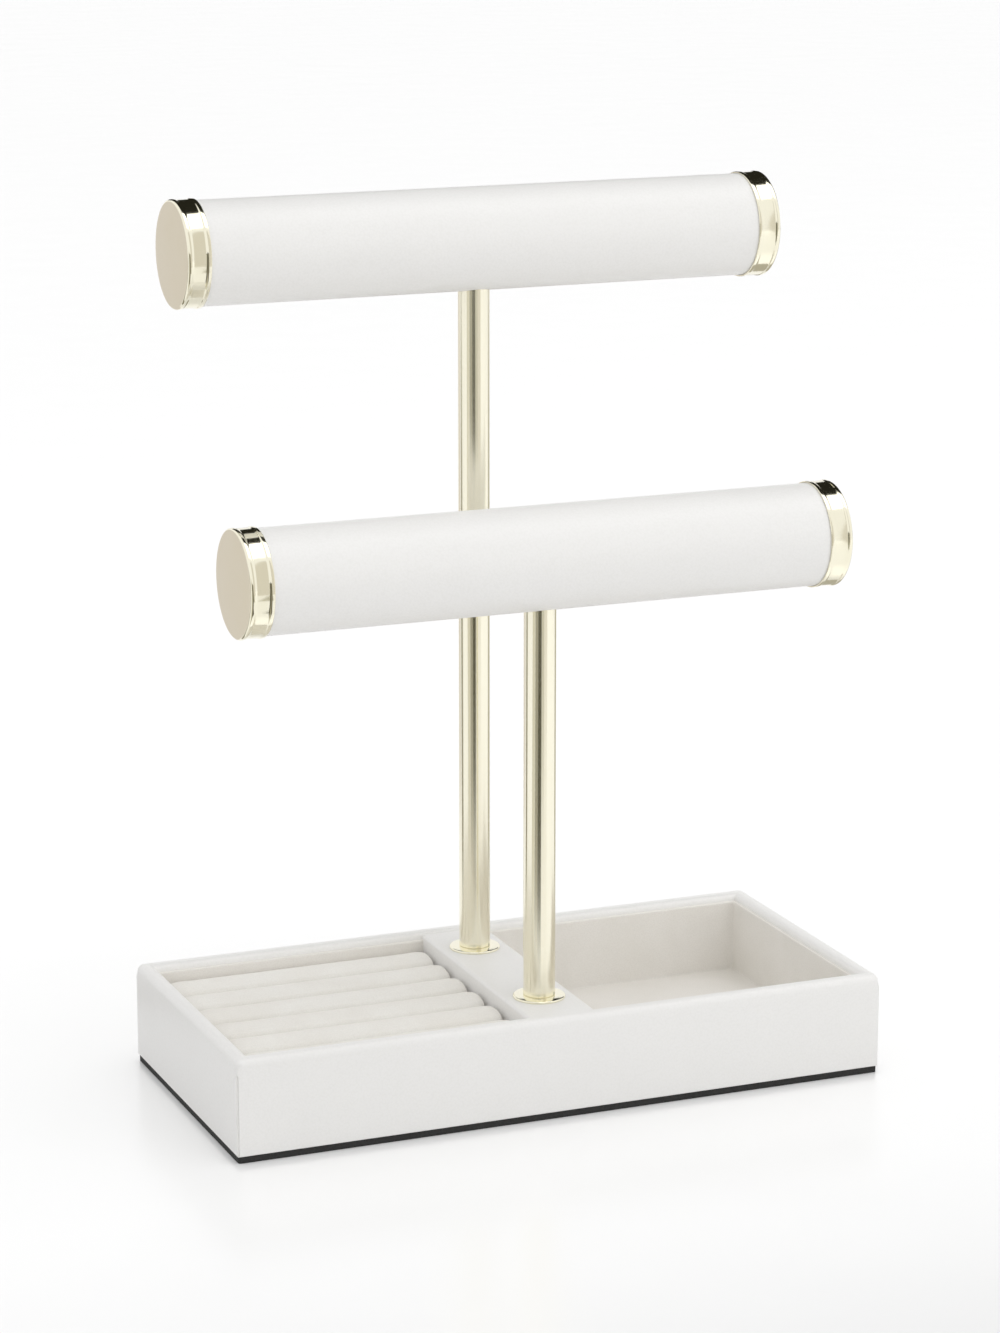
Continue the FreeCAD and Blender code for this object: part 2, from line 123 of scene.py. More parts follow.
# The floor lies just below the stand, and the cards on it lie just above the level that the stand rests on.
FLOOR_DROP = 0.1 * MM
FLOOR_SIZE = 12
CARD_LIFT = 3 * FLOOR_DROP


def linear(code):
    """An sRGB hex colour as the linear values that a shader takes."""
    shares = [int(code[place:place + 2], 16) / 255 for place in (1, 3, 5)]
    return [s / 12.92 if s <= 0.04045 else ((s + 0.055) / 1.055) ** 2.4 for s in shares] + [1.0]


def add_node(tree, kind, settings=None, links=None):
    """Add a shader node, set its sockets and options, and link what feeds it."""
    node = tree.nodes.new(kind)
    for name, value in (settings or {}).items():
        if isinstance(name, int) or name in node.inputs:
            node.inputs[name].default_value = value
        else:
            setattr(node, name, value)
    for name, source in (links or {}).items():
        tree.links.new(source, node.inputs[name])
    return node


# Sockets of a colour Mix node, which share their names with its number sockets.
MIX_SHARE, MIX_FIRST, MIX_SECOND, MIX_RESULT = 0, 6, 7, 2


def new_material(name):
    """An empty node material and the place of each point on the piece, in metres."""
    material = bpy.data.materials.new(name)
    material.use_nodes = True
    tree = material.node_tree
    tree.nodes.clear()
    place = add_node(tree, "ShaderNodeTexCoord").outputs["Object"]
    return material, tree, place


def white_leather():
    """PU-coated leather cloth, embossed with a fine pebble and rolled satin: broad soft highlights, a faint
    grain in raking light, and painted shade in the pebble's valleys. The pebble is drawn at 0.8 mm, about
    twice its real size, so that it shows."""
    material, tree, place = new_material("white_pu_leather")
    pebble = add_node(tree, "ShaderNodeTexVoronoi", {"Scale": 1 / (0.8 * MM)}, {"Vector": place})
    drape = add_node(tree, "ShaderNodeTexNoise", {"Scale": 1 / (22 * MM), "Detail": 3.0}, {"Vector": place})
    handling = add_node(tree, "ShaderNodeTexNoise", {"Scale": 1 / (6 * MM), "Detail": 4.0}, {"Vector": place})
    # Painted shade: the colour darkens towards #E7E6E3 in the pebble's valleys.
    grain_valley_shade = add_node(tree, "ShaderNodeMapRange",
                      {"From Min": 0.35, "From Max": 0.8, "To Min": 0.0, "To Max": 0.3},
                      {"Value": pebble.outputs["Distance"]})
    tone = add_node(tree, "ShaderNodeMix",
                    {"data_type": "RGBA", MIX_FIRST: linear("#F1F0EE"), MIX_SECOND: linear("#EEEDEB")},
                    {MIX_SHARE: drape.outputs["Fac"]})
    colour = add_node(tree, "ShaderNodeMix", {"data_type": "RGBA", MIX_SECOND: linear("#E7E6E3")},
                      {MIX_SHARE: grain_valley_shade.outputs["Result"], MIX_FIRST: tone.outputs[MIX_RESULT]})
    gloss = add_node(tree, "ShaderNodeMapRange", {"To Min": 0.36, "To Max": 0.47},
                     {"Value": handling.outputs["Fac"]})
    waves = add_node(tree, "ShaderNodeBump", {"Strength": 0.05, "Distance": 0.25 * MM},
                     {"Height": drape.outputs["Fac"]})
    grain = add_node(tree, "ShaderNodeBump", {"invert": True, "Strength": 0.12, "Distance": 0.1 * MM},
                     {"Height": pebble.outputs["Distance"], "Normal": waves.outputs["Normal"]})
    shader = add_node(tree, "ShaderNodeBsdfPrincipled", {"IOR": 1.5},
                      {"Base Color": colour.outputs[MIX_RESULT], "Roughness": gloss.outputs["Result"],
                       "Normal": grain.outputs["Normal"]})
    add_node(tree, "ShaderNodeOutputMaterial", links={"Surface": shader.outputs["BSDF"]})
    return material


def velvet(name, pile_tone, brushed_patch_shade, sheen):
    """Flocked velvet, a dense short pile: no highlight, a pale bloom where it is seen edge on, soft darker
    patches of painted shade where the pile was brushed another way, and painted shade deep in the pile. The
    fibres are drawn at 0.5 mm, coarser than real, so that they show."""
    material, tree, place = new_material(name)
    fibres = add_node(tree, "ShaderNodeTexNoise", {"Scale": 1 / (0.5 * MM), "Detail": 3.0, "Roughness": 0.65},
                      {"Vector": place})
    brushed = add_node(tree, "ShaderNodeTexNoise", {"Scale": 1 / (18 * MM), "Detail": 2.0, "Distortion": 0.4},
                       {"Vector": place})
    # Painted shade: soft patches where the pile was brushed another way come out a little darker.
    patch = add_node(tree, "ShaderNodeMapRange", {"From Min": 0.32, "From Max": 0.68},
                     {"Value": brushed.outputs["Fac"]})
    tone = add_node(tree, "ShaderNodeMix",
                    {"data_type": "RGBA", MIX_FIRST: linear(pile_tone), MIX_SECOND: linear(brushed_patch_shade)},
                    {MIX_SHARE: patch.outputs["Result"]})
    # Painted shade deep in the pile: where the fibre noise is low, the colour darkens towards #CECAC3.
    depth = add_node(tree, "ShaderNodeMapRange",
                     {"From Min": 0.3, "From Max": 0.6, "To Min": 0.22, "To Max": 0.0},
                     {"Value": fibres.outputs["Fac"]})
    colour = add_node(tree, "ShaderNodeMix", {"data_type": "RGBA", MIX_SECOND: linear("#CECAC3")},
                      {MIX_SHARE: depth.outputs["Result"], MIX_FIRST: tone.outputs[MIX_RESULT]})
    matt = add_node(tree, "ShaderNodeMapRange", {"To Min": 0.84, "To Max": 0.98},
                    {"Value": fibres.outputs["Fac"]})
    pile = add_node(tree, "ShaderNodeBump", {"Strength": 0.3, "Distance": 0.2 * MM},
                    {"Height": fibres.outputs["Fac"]})
    shader = add_node(tree, "ShaderNodeBsdfPrincipled",
                      {"Specular IOR Level": 0.2, "Sheen Weight": sheen, "Sheen Roughness": 0.45,
                       "Sheen Tint": linear("#FBF7EE")},
                      {"Base Color": colour.outputs[MIX_RESULT], "Roughness": matt.outputs["Result"],
                       "Normal": pile.outputs["Normal"]})
    add_node(tree, "ShaderNodeOutputMaterial", links={"Surface": shader.outputs["BSDF"]})
    return material


def champagne_plating():
    """Pale gold electroplate on polished steel: near-mirror reflections with a cream tint, and the faint
    unevenness of a buffed surface about a centimetre across."""
    material, tree, place = new_material("champagne_gold_plating")
    buffed = add_node(tree, "ShaderNodeTexNoise", {"Scale": 1 / (9 * MM), "Detail": 3.0}, {"Vector": place})
    wiped = add_node(tree, "ShaderNodeTexNoise", {"Scale": 1 / (1.5 * MM), "Detail": 5.0}, {"Vector": place})
    colour = add_node(tree, "ShaderNodeMix",
                      {"data_type": "RGBA", MIX_FIRST: linear("#F5F1DE"), MIX_SECOND: linear("#F2EDD6")},
                      {MIX_SHARE: buffed.outputs["Fac"]})
    gloss = add_node(tree, "ShaderNodeMapRange", {"To Min": 0.07, "To Max": 0.15},
                     {"Value": wiped.outputs["Fac"]})
    ripple = add_node(tree, "ShaderNodeBump", {"Strength": 0.06, "Distance": 0.05 * MM},
                      {"Height": buffed.outputs["Fac"]})
    shader = add_node(tree, "ShaderNodeBsdfPrincipled", {"Metallic": 1.0},
                      {"Base Color": colour.outputs[MIX_RESULT], "Roughness": gloss.outputs["Result"],
                       "Normal": ripple.outputs["Normal"]})
    add_node(tree, "ShaderNodeOutputMaterial", links={"Surface": shader.outputs["BSDF"]})
    return material


def drawn_tube_plating():
    """The same plate on drawn tube, buffed round and round: the fine marks spread every reflection up and down
    the tube, so that it shows even upright stripes."""
    material, tree, place = new_material("champagne_gold_tube")
    wiped = add_node(tree, "ShaderNodeTexNoise", {"Scale": 1 / (1.5 * MM), "Detail": 5.0}, {"Vector": place})
    colour = add_node(tree, "ShaderNodeMix",
                      {"data_type": "RGBA", MIX_FIRST: linear("#FAF6E4"), MIX_SECOND: linear("#F7F2DC")},
                      {MIX_SHARE: wiped.outputs["Fac"]})
    gloss = add_node(tree, "ShaderNodeMapRange", {"To Min": 0.16, "To Max": 0.2},
                     {"Value": wiped.outputs["Fac"]})
    marks = add_node(tree, "ShaderNodeTangent", {"direction_type": "RADIAL", "axis": "Z"})
    shader = add_node(tree, "ShaderNodeBsdfPrincipled",
                      {"Metallic": 1.0, "Anisotropic": 0.95, "Anisotropic Rotation": 0.25},
                      {"Base Color": colour.outputs[MIX_RESULT], "Roughness": gloss.outputs["Result"],
                       "Tangent": marks.outputs["Tangent"]})
    add_node(tree, "ShaderNodeOutputMaterial", links={"Surface": shader.outputs["BSDF"]})
    return material


# Finish of each slot whose pieces keep their CAD form: material, pale and dark tone, size of its grit or
# fibre, roughness, depth of its pits, and whether it is metal.
INSIDE_FINISHES = {
    "fibreboard": ("pressed_fibreboard", "#C9AC82", "#A5865C", 0.8 * MM, 0.82, 0.05 * MM, 0.0),
    "paper_tube": ("wound_paper_tube", "#CDB792", "#AE946B", 1.2 * MM, 0.78, 0.05 * MM, 0.0),
    "black_foam": ("closed_cell_foam", "#323231", "#20201F", 0.5 * MM, 0.88, 0.15 * MM, 0.0),
    "zinc_steel": ("zinc_plated_steel", "#C9CCD0", "#A9ADB2", 1.4 * MM, 0.34, 0.01 * MM, 1.0),
    "brass_insert": ("drawn_brass", "#D9B877", "#BF9A55", 0.9 * MM, 0.30, 0.01 * MM, 1.0),
}
# How many specks wide a cell is, and how far the roughness strays up and down.
CELL_SPECKS = 2.2
ROUGHNESS_STRAY = 0.08


def speckled(name, pale, dark, speck, roughness, depth, metallic):
    """A plain finish, mottled at the size of its own grit or fibre: pressed board, wound paper, foam cells,
    zinc crystals or drawn brass. It gives the eye a broken, uneven tone instead of a flat one."""
    material, tree, place = new_material(name)
    grit = add_node(tree, "ShaderNodeTexNoise", {"Scale": 1 / speck, "Detail": 5.0, "Roughness": 0.7},
                    {"Vector": place})
    cells = add_node(tree, "ShaderNodeTexVoronoi", {"Scale": 1 / (CELL_SPECKS * speck)}, {"Vector": place})
    share = add_node(tree, "ShaderNodeMapRange", {"From Min": 0.32, "From Max": 0.68},
                     {"Value": grit.outputs["Fac"]})
    colour = add_node(tree, "ShaderNodeMix",
                      {"data_type": "RGBA", MIX_FIRST: linear(dark), MIX_SECOND: linear(pale)},
                      {MIX_SHARE: share.outputs["Result"]})
    matt = add_node(tree, "ShaderNodeMapRange",
                    {"To Min": roughness - ROUGHNESS_STRAY, "To Max": roughness + ROUGHNESS_STRAY},
                    {"Value": cells.outputs["Distance"]})
    pits = add_node(tree, "ShaderNodeBump", {"Strength": 0.4, "Distance": depth},
                    {"Height": cells.outputs["Distance"]})
    shader = add_node(tree, "ShaderNodeBsdfPrincipled", {"Metallic": metallic},
                      {"Base Color": colour.outputs[MIX_RESULT], "Roughness": matt.outputs["Result"],
                       "Normal": pits.outputs["Normal"]})
    add_node(tree, "ShaderNodeOutputMaterial", links={"Surface": shader.outputs["BSDF"]})
    return material


def hold(piece):
    """Select one piece alone and make it the one that the tools act on."""
    bpy.ops.object.select_all(action="DESELECT")
    piece.select_set(True)
    bpy.context.view_layer.objects.active = piece


def settle(piece):
    """Put a piece's place, turn and size into its mesh."""
    hold(piece)
    bpy.ops.object.transform_apply(location=True, rotation=True, scale=True)


def pick(piece, kind, wanted):
    """Select, while editing, the faces, edges or points whose middle and direction pass a test."""
    bpy.ops.mesh.select_mode(type=kind)
    bpy.ops.mesh.select_all(action="DESELECT")
    mesh = bmesh.from_edit_mesh(piece.data)
    mesh.normal_update()
    if kind == "FACE":
        found = [face for face in mesh.faces if wanted(face.calc_center_median(), face.normal)]
    elif kind == "EDGE":
        found = []
        for edge in mesh.edges:
            one, other = (corner.co for corner in edge.verts)
            if wanted((one + other) / 2, (other - one).normalized()):
                found.append(edge)
    else:
        found = [corner for corner in mesh.verts if wanted(corner.co, corner.normal)]
    for part in found:
        part.select_set(True)
    mesh.select_flush_mode()
    bmesh.update_edit_mesh(piece.data)


def finish_with(piece, kind, **settings):
    """Add a modifier to a piece and apply it."""
    hold(piece)
    modifier = piece.modifiers.new(kind.title(), kind)
    for field, value in settings.items():
        setattr(modifier, field, value)
    bpy.ops.object.modifier_apply(modifier=modifier.name)


def join_up(piece, body, slot, material, *nodes):
    """Smooth a finished piece, give it its material, hang it on the body that it rides on, and hide the CAD
    nodes that it stands for.
    """
    hold(piece)
    bpy.ops.object.shade_smooth_by_angle(angle=SMOOTH_ANGLE)
    piece.data.materials.clear()
    piece.data.materials.append(material)
    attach(piece, body)
    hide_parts(*nodes)


def add_block(name, low, high):
    """Add a block from corner to corner and open it for shaping."""
    bpy.ops.object.select_all(action="DESELECT")
    bpy.ops.mesh.primitive_cube_add(size=1, location=(low + high) / 2, scale=high - low)
    piece = bpy.context.object
    piece.name = name
    settle(piece)
    bpy.ops.object.mode_set(mode="EDIT")
    return piece


def turn_on_lathe(name, start, along, outward, profile):
    """Draw half a section as a chain of points beside the axis, round its corners, and spin it round.
    Each point is its distance along the axis, its distance from it, and the radius that rounds it. A chain
    that doesn't begin on the axis is closed into a ring."""
    bpy.ops.object.select_all(action="DESELECT")
    points = [start + along * station + outward * reach for station, reach, _ in profile]
    bpy.ops.mesh.primitive_plane_add(size=MM, location=points[0])
    piece = bpy.context.object
    piece.name = name
    settle(piece)
    bpy.ops.object.mode_set(mode="EDIT")
    bpy.ops.mesh.select_mode(type="VERT")
    bpy.ops.mesh.select_all(action="SELECT")
    bpy.ops.mesh.merge(type="CENTER")
    for one, other in zip(points, points[1:]):
        bpy.ops.mesh.extrude_vertices_move(TRANSFORM_OT_translate={"value": other - one})
    if profile[0][1] > 0:
        pick(piece, "VERT", lambda place, _: min((place - points[0]).length,
                                                 (place - points[-1]).length) < CLOSE)
        bpy.ops.mesh.edge_face_add()
    for point, (_, _, radius) in zip(points, profile):
        if radius > 0:
            pick(piece, "VERT", lambda place, _: (place - point).length < CLOSE)
            bpy.ops.mesh.bevel(offset=radius, segments=ROUND_SEGMENTS, affect="VERTICES")
    bpy.ops.mesh.select_all(action="SELECT")
    bpy.ops.mesh.spin(steps=ROUND_STEPS, angle=2 * math.pi, center=start, axis=along)
    bpy.ops.mesh.select_all(action="SELECT")
    bpy.ops.mesh.remove_doubles(threshold=MERGE)
    bpy.ops.mesh.normals_make_consistent(inside=False)
    return piece


def cut_away(piece, shape):
    """Cut a shape out of a piece, and put the shape away."""
    finish_with(piece, "BOOLEAN", object=shape, operation="DIFFERENCE", solver="EXACT")
    bpy.data.objects.remove(shape)


def drill(piece, place, radius, depth):
    """Cut an upright round hole through a piece, centred on a place."""
    bpy.ops.object.select_all(action="DESELECT")
    bpy.ops.mesh.primitive_cylinder_add(vertices=HOLE_STEPS, radius=radius, depth=depth, location=place)
    cut_away(piece, bpy.context.object)


def make_tray_leather(leather):
    """Leather over the tray's walls: a rounded rim, crisp corners below it with a fold down each, turned under
    at the bottom."""
    low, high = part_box("tray_wrap")
    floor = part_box("left_lining")[0].z
    piece = add_block("tray_leather", low, high)
    pick(piece, "FACE", lambda _, normal: normal.z > LEVEL)
    bpy.ops.mesh.inset(thickness=RIM_WIDTH)
    bpy.ops.mesh.extrude_region_move(TRANSFORM_OT_translate={"value": (0, 0, floor - high.z)})
    bpy.ops.mesh.delete(type="FACE")
    pick(piece, "FACE", lambda _, normal: normal.z < -LEVEL)
    bpy.ops.mesh.inset(thickness=TURN_UNDER)
    bpy.ops.mesh.delete(type="FACE")

    def on_rim_or_corner(middle, along):
        straight_rim = middle.z > high.z - CLOSE and max(abs(along.x), abs(along.y)) > STRAIGHT
        outer_corner = abs(along.z) > LEVEL and abs(middle.x) > high.x - CLOSE
        return straight_rim or outer_corner
    pick(piece, "EDGE", on_rim_or_corner)
    bpy.ops.mesh.bevel(offset=RIM_ROUND, segments=ROUND_SEGMENTS, affect="EDGES")

    crisp_from = high.z - RIM_ROUND - CORNER_DROP
    bpy.ops.mesh.select_all(action="SELECT")
    bpy.ops.mesh.bisect(plane_co=(0, 0, crisp_from), plane_no=(0, 0, 1))
    square_corners(piece, high, crisp_from)
    pick(piece, "EDGE", lambda middle, _: middle.z < low.z + CLOSE
         and (abs(middle.x) > high.x - CLOSE or abs(middle.y) > high.y - CLOSE))
    bpy.ops.mesh.bevel(offset=BOTTOM_ROUND, segments=BOTTOM_SEGMENTS, affect="EDGES")
    pick(piece, "EDGE", lambda middle, along: abs(along.z) > LEVEL and on_corner(middle, high))
    bpy.ops.mesh.bevel(offset=FOLD_WIDTH, segments=FOLD_SEGMENTS, affect="EDGES")
    # The fold is the rounded corner's middle line, which lies on a quarter circle, pressed in.
    fold = Vector((high.x, high.y)) - Vector((1, 1)) * FOLD_WIDTH * (1 - math.sqrt(0.5))
    pick(piece, "EDGE", lambda middle, along: abs(along.z) > LEVEL and on_corner(middle, fold))
    bpy.ops.transform.shrink_fatten(value=-FOLD_DEPTH)
    bpy.ops.object.mode_set(mode="OBJECT")
    finish_with(piece, "SOLIDIFY", thickness=LEATHER, offset=-1.0)
    join_up(piece, "base", "white_leather", leather, "tray_wrap")


def on_corner(place, corner):
    """Whether a place lies above one of the tray's four corners, or one set in from them."""
    return (Vector((abs(place.x), abs(place.y))) - Vector((corner.x, corner.y))).length < CLOSE


def square_corners(piece, high, top):
    """Push the rounded upright corners out to a crisp edge, from a height down."""
    mesh = bmesh.from_edit_mesh(piece.data)
    for corner in mesh.verts:
        along = abs(corner.co.x) - (high.x - RIM_ROUND)
        across = abs(corner.co.y) - (high.y - RIM_ROUND)
        reach = math.hypot(along, across)
        if min(along, across) > CLOSE and abs(reach - RIM_ROUND) < CLOSE and corner.co.z < top + CLOSE:
            out = RIM_ROUND / max(along, across) - 1
            corner.co.x += math.copysign(along * out, corner.co.x)
            corner.co.y += math.copysign(across * out, corner.co.y)
    bmesh.update_edit_mesh(piece.data)


def make_lining(side, towards_bridge, pile):
    """Velvet on card over a compartment's floor and three walls, open at the top and towards the bridge."""
    low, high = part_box(side + "_lining")
    piece = add_block(side + "_velvet_lining", low, high)
    bpy.ops.object.mode_set(mode="OBJECT")
    shift = Vector((LINING * towards_bridge, 0, LINING))
    inset = Vector((0, LINING, 0))
    hollow = add_block("compartment", low + shift + inset, high + shift - inset)
    wall, bridge = (low.x, high.x) if towards_bridge > 0 else (high.x, low.x)
    pick(hollow, "EDGE", lambda middle, _: middle.z < high.z and abs(middle.x - bridge - shift.x) > CLOSE)
    bpy.ops.mesh.bevel(offset=LINING_ROUND, segments=ROUND_SEGMENTS, affect="EDGES")
    bpy.ops.object.mode_set(mode="OBJECT")
    cut_away(piece, hollow)
    bpy.ops.object.mode_set(mode="EDIT")
    pick(piece, "EDGE", lambda middle, along: middle.z > high.z - CLOSE and abs(along.z) < 1 - LEVEL
         and min(abs(middle.x - wall), high.y - abs(middle.y)) > LINING / 2 and abs(middle.x - bridge) > CLOSE)
    bpy.ops.mesh.bevel(offset=LINING_LIP, segments=LIP_SEGMENTS, affect="EDGES")
    bpy.ops.object.mode_set(mode="OBJECT")
    join_up(piece, "base", "lining_velvet", pile, side + "_lining")


def make_bridge_leather(leather):
    """Leather over the bridge's top and long sides, rounded along its edges and pierced for the two bolts."""
    low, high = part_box("bridge_cover")
    piece = add_block("bridge_leather", low, high)
    pick(piece, "FACE", lambda _, normal: normal.z < -LEVEL or abs(normal.y) > LEVEL)
    bpy.ops.mesh.delete(type="FACE")
    pick(piece, "EDGE", lambda middle, along: abs(along.y) > LEVEL and middle.z > high.z - CLOSE)
    bpy.ops.mesh.bevel(offset=BRIDGE_ROUND, segments=ROUND_SEGMENTS, affect="EDGES")
    bpy.ops.object.mode_set(mode="OBJECT")
    finish_with(piece, "SOLIDIFY", thickness=LEATHER, offset=-1.0)
    for which in ("rear", "front"):
        bolt_low, bolt_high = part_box(which + "_base_bolt")
        middle = (bolt_low + bolt_high) / 2
        drill(piece, Vector((middle.x, middle.y, high.z)), BOLT_HOLE, BOLT_HOLE_DEPTH)
    join_up(piece, "base", "white_leather", leather, "bridge_cover")


def make_pole(which, tube_plating, plating):
    """A plated tube standing on a thin turned flange."""
    low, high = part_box(which + "_pole")
    foot = Vector(((low.x + high.x) / 2, (low.y + high.y) / 2, low.z))
    radius = (high.x - low.x) / 2
    height = high.z - low.z
    tube = turn_on_lathe(which + "_pole_tube", foot, Vector((0, 0, 1)), Vector((1, 0, 0)), [
        (0.0, radius - POLE_WALL, 0.0),
        (0.0, radius, POLE_EDGE),
        (height, radius, POLE_EDGE),
        (height, radius - POLE_WALL, 0.0)])
    bpy.ops.object.mode_set(mode="OBJECT")
    join_up(tube, "base", "gold_plating", tube_plating, which + "_pole")

    low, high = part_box(which + "_pole_flange")
    radius = (high.x - low.x) / 2
    thickness = high.z - low.z
    foot.z = low.z
    plate = turn_on_lathe(which + "_flange_plate", foot, Vector((0, 0, 1)), Vector((1, 0, 0)), [
        (0.0, BOLT_HOLE, 0.0),
        (0.0, radius, FLANGE_FOOT_ROUND),
        (FLANGE_SIDE_SHARE * thickness, radius, FLANGE_SIDE_ROUND),
        (thickness, radius - FLANGE_SLOPE, FLANGE_TOP_ROUND),
        (thickness, BOLT_HOLE, 0.0)])
    bpy.ops.object.mode_set(mode="OBJECT")
    join_up(plate, "base", "gold_plating", plating, which + "_pole_flange")


def make_end_caps(which, plating):
    """Pressed cup caps: flat face, rounded edge, and a band with a shallow recess between its two rims."""
    for side, inward in (("left", 1), ("right", -1)):
        low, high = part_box("%s_%s_cap" % (which, side))
        face = low.x if inward > 0 else high.x
        centre = Vector((face, (low.y + high.y) / 2, (low.z + high.z) / 2))
        radius = (high.z - low.z) / 2
        depth = high.x - low.x
        bottom = radius - CAP_BAND_DEPTH
        along = Vector((inward, 0, 0))
        down = Vector((0, 0, -1))
        cap = turn_on_lathe("%s_%s_end_cap" % (which, side), centre, along, down, [
            (0.0, 0.0, 0.0),
            (0.0, radius, CAP_FACE_ROUND),
            (CAP_FACE_RIM, radius, CAP_RIM_ROUND),
            (CAP_FACE_RIM + CAP_BAND_SLOPE, bottom, CAP_BAND_ROUND),
            (depth - CAP_MOUTH_RIM - CAP_BAND_SLOPE, bottom, CAP_BAND_ROUND),
            (depth - CAP_MOUTH_RIM, radius, CAP_RIM_ROUND),
            (depth, radius, CAP_MOUTH_ROUND),
            (depth, radius - CAP_SHEET, CAP_MOUTH_INSIDE_ROUND),
            (CAP_SHEET, radius - CAP_SHEET, CAP_INSIDE_ROUND),
            (CAP_SHEET, 0.0, 0.0)])
        bpy.ops.object.mode_set(mode="OBJECT")
        join_up(cap, which + "_bar", "gold_plating", plating, "%s_%s_cap" % (which, side))


def make_bar_leather(which, leather):
    """Leather sleeve round the bar, its butt seam low at the back, pierced from below for the pole."""
    low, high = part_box(which + "_bar_sleeve")
    end = Vector((low.x, (low.y + high.y) / 2, (low.z + high.z) / 2))
    radius = (high.z - low.z) / 2
    length = high.x - low.x
    seam = Vector((0, math.cos(SEAM_ANGLE), math.sin(SEAM_ANGLE)))
    sleeve = turn_on_lathe(which + "_bar_leather", end, Vector((1, 0, 0)), seam, [
        (0.0, radius - LEATHER, 0.0),
        (0.0, radius, 0.0),
        (length, radius, 0.0),
        (length, radius - LEATHER, 0.0)])
    pick(sleeve, "VERT", lambda place, _: (place - end).dot(seam) > radius - 2 * MERGE)
    bpy.ops.transform.translate(value=seam * -SEAM_DEPTH)
    bpy.ops.object.mode_set(mode="OBJECT")
    drill(sleeve, Vector((end.x + length / 2, end.y, end.z - radius)), POLE_HOLE, radius)
    join_up(sleeve, which + "_bar", "white_leather", leather, which + "_bar_sleeve")


def stuff_roll(node):
    """One ring roll as a stuffed tube: the CAD roll taken in a little, then blown out by cloth pressure."""
    low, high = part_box(node)
    middle = Vector(((low.x + high.x) / 2, (low.y + high.y) / 2, low.z))
    size = high - low
    roll = bpy.data.objects.new("roll_stuffing", frame["nodes"][node].data.copy())
    bpy.context.scene.collection.objects.link(roll)
    hold(roll)
    bpy.ops.object.mode_set(mode="EDIT")
    bpy.ops.mesh.select_all(action="SELECT")
    bpy.ops.mesh.remove_doubles(threshold=MERGE)
    bpy.ops.transform.translate(value=-middle)
    taken_in = [SIMULATION_SCALE * (width - 2 * ROLL_SLACK) / width for width in size]
    taken_in[2] = SIMULATION_SCALE * (size.z + ROLL_RISE) / size.z
    bpy.ops.transform.resize(value=taken_in, center_override=(0, 0, 0))
    bpy.ops.object.mode_set(mode="OBJECT")
    roll.data.remesh_voxel_size = ROLL_VOXEL * SIMULATION_SCALE
    bpy.ops.object.voxel_remesh()
    before = [corner.co.copy() for corner in roll.data.vertices]
    glued = roll.vertex_groups.new(name="glued_to_board")
    glue_line = ROLL_VOXEL * SIMULATION_SCALE
    on_board = [corner.index for corner in roll.data.vertices if corner.co.z < glue_line]
    glued.add(on_board, 1.0, "REPLACE")
    cloth = roll.modifiers.new("Cloth", "CLOTH")
    cloth.settings.use_pressure = True
    cloth.settings.uniform_pressure_force = ROLL_PRESSURE
    cloth.settings.effector_weights.gravity = 0.0
    cloth.settings.vertex_group_mass = glued.name
    for step in range(1, ROLL_FRAMES + 1):
        bpy.context.scene.frame_set(step)
    bpy.ops.object.modifier_apply(modifier=cloth.name)
    bpy.context.scene.frame_set(1)
    most = ROLL_SWELL * SIMULATION_SCALE
    for corner, start in zip(roll.data.vertices, before):
        move = corner.co - start
        if move.length > most:
            corner.co = start + move.normalized() * most
    roll.vertex_groups.clear()
    bpy.ops.object.mode_set(mode="EDIT")
    bpy.ops.mesh.select_all(action="SELECT")
    bpy.ops.transform.resize(value=[1 / SIMULATION_SCALE] * 3, center_override=(0, 0, 0))
    bpy.ops.object.mode_set(mode="OBJECT")
    return roll


def make_ring_rolls(pile):
    """Six stuffed velvet rolls side by side, each a little uneven in its own way."""
    pattern = stuff_roll("ring_roll_1")
    unevenness = bpy.data.textures.new("stuffing_unevenness", "CLOUDS")
    unevenness.noise_scale = ROLL_UNEVEN_SIZE
    for number in range(1, ROLL_COUNT + 1):
        node = "ring_roll_%d" % number
        low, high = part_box(node)
        roll = pattern.copy()
        roll.data = pattern.data.copy()
        roll.name = "velvet_ring_roll_%d" % number
        bpy.context.scene.collection.objects.link(roll)
        roll.location = ((low.x + high.x) / 2, (low.y + high.y) / 2, low.z)
        settle(roll)
        finish_with(roll, "DISPLACE", texture=unevenness, texture_coords="LOCAL", strength=ROLL_UNEVEN)
        finish_with(roll, "SUBSURF", levels=1, render_levels=1)
        join_up(roll, "ring_cushion", "ring_velvet", pile, node)
    bpy.data.objects.remove(pattern)


def paint_inside_nodes():
    """Give every CAD node that still shows the finish of its record slot."""
    finishes = {slot: speckled(*finish) for slot, finish in INSIDE_FINISHES.items()}
    for entry in frame["record"]["subparts"]:
        if entry["material_slot"] in finishes:
            for slot in frame["nodes"][entry["node"]].material_slots:
                slot.material = finishes[entry["material_slot"]]


def make_camera():
    """The photograph's viewpoint and lens."""
    bpy.ops.object.camera_add(location=CAMERA_PLACE, rotation=(
        math.radians(90 - CAMERA_DOWN), 0, math.radians(CAMERA_AZIMUTH)))
    camera = bpy.context.object
    camera.data.lens = CAMERA_LENS
    bpy.context.scene.camera = camera


# Ray kinds that see the white surroundings; all others are lit by the softer studio level.
SEEING_RAYS = ("Is Camera Ray", "Is Glossy Ray", "Is Transmission Ray")
STUDIO_LEVEL = 0.85
# Light that the floor adds where it is seen, so that it comes out as white as the surroundings.
FLOOR_LIFT = 0.085


def seen_share(tree):
    """One where a ray shows the surroundings, directly, in a gloss or through glass, and nought elsewhere."""
    rays = add_node(tree, "ShaderNodeLightPath")
    share = rays.outputs[SEEING_RAYS[0]]
    for kind in SEEING_RAYS[1:]:
        both = add_node(tree, "ShaderNodeMath", {"operation": "MAXIMUM"}, {0: share, 1: rays.outputs[kind]})
        share = both.outputs["Value"]
    return share


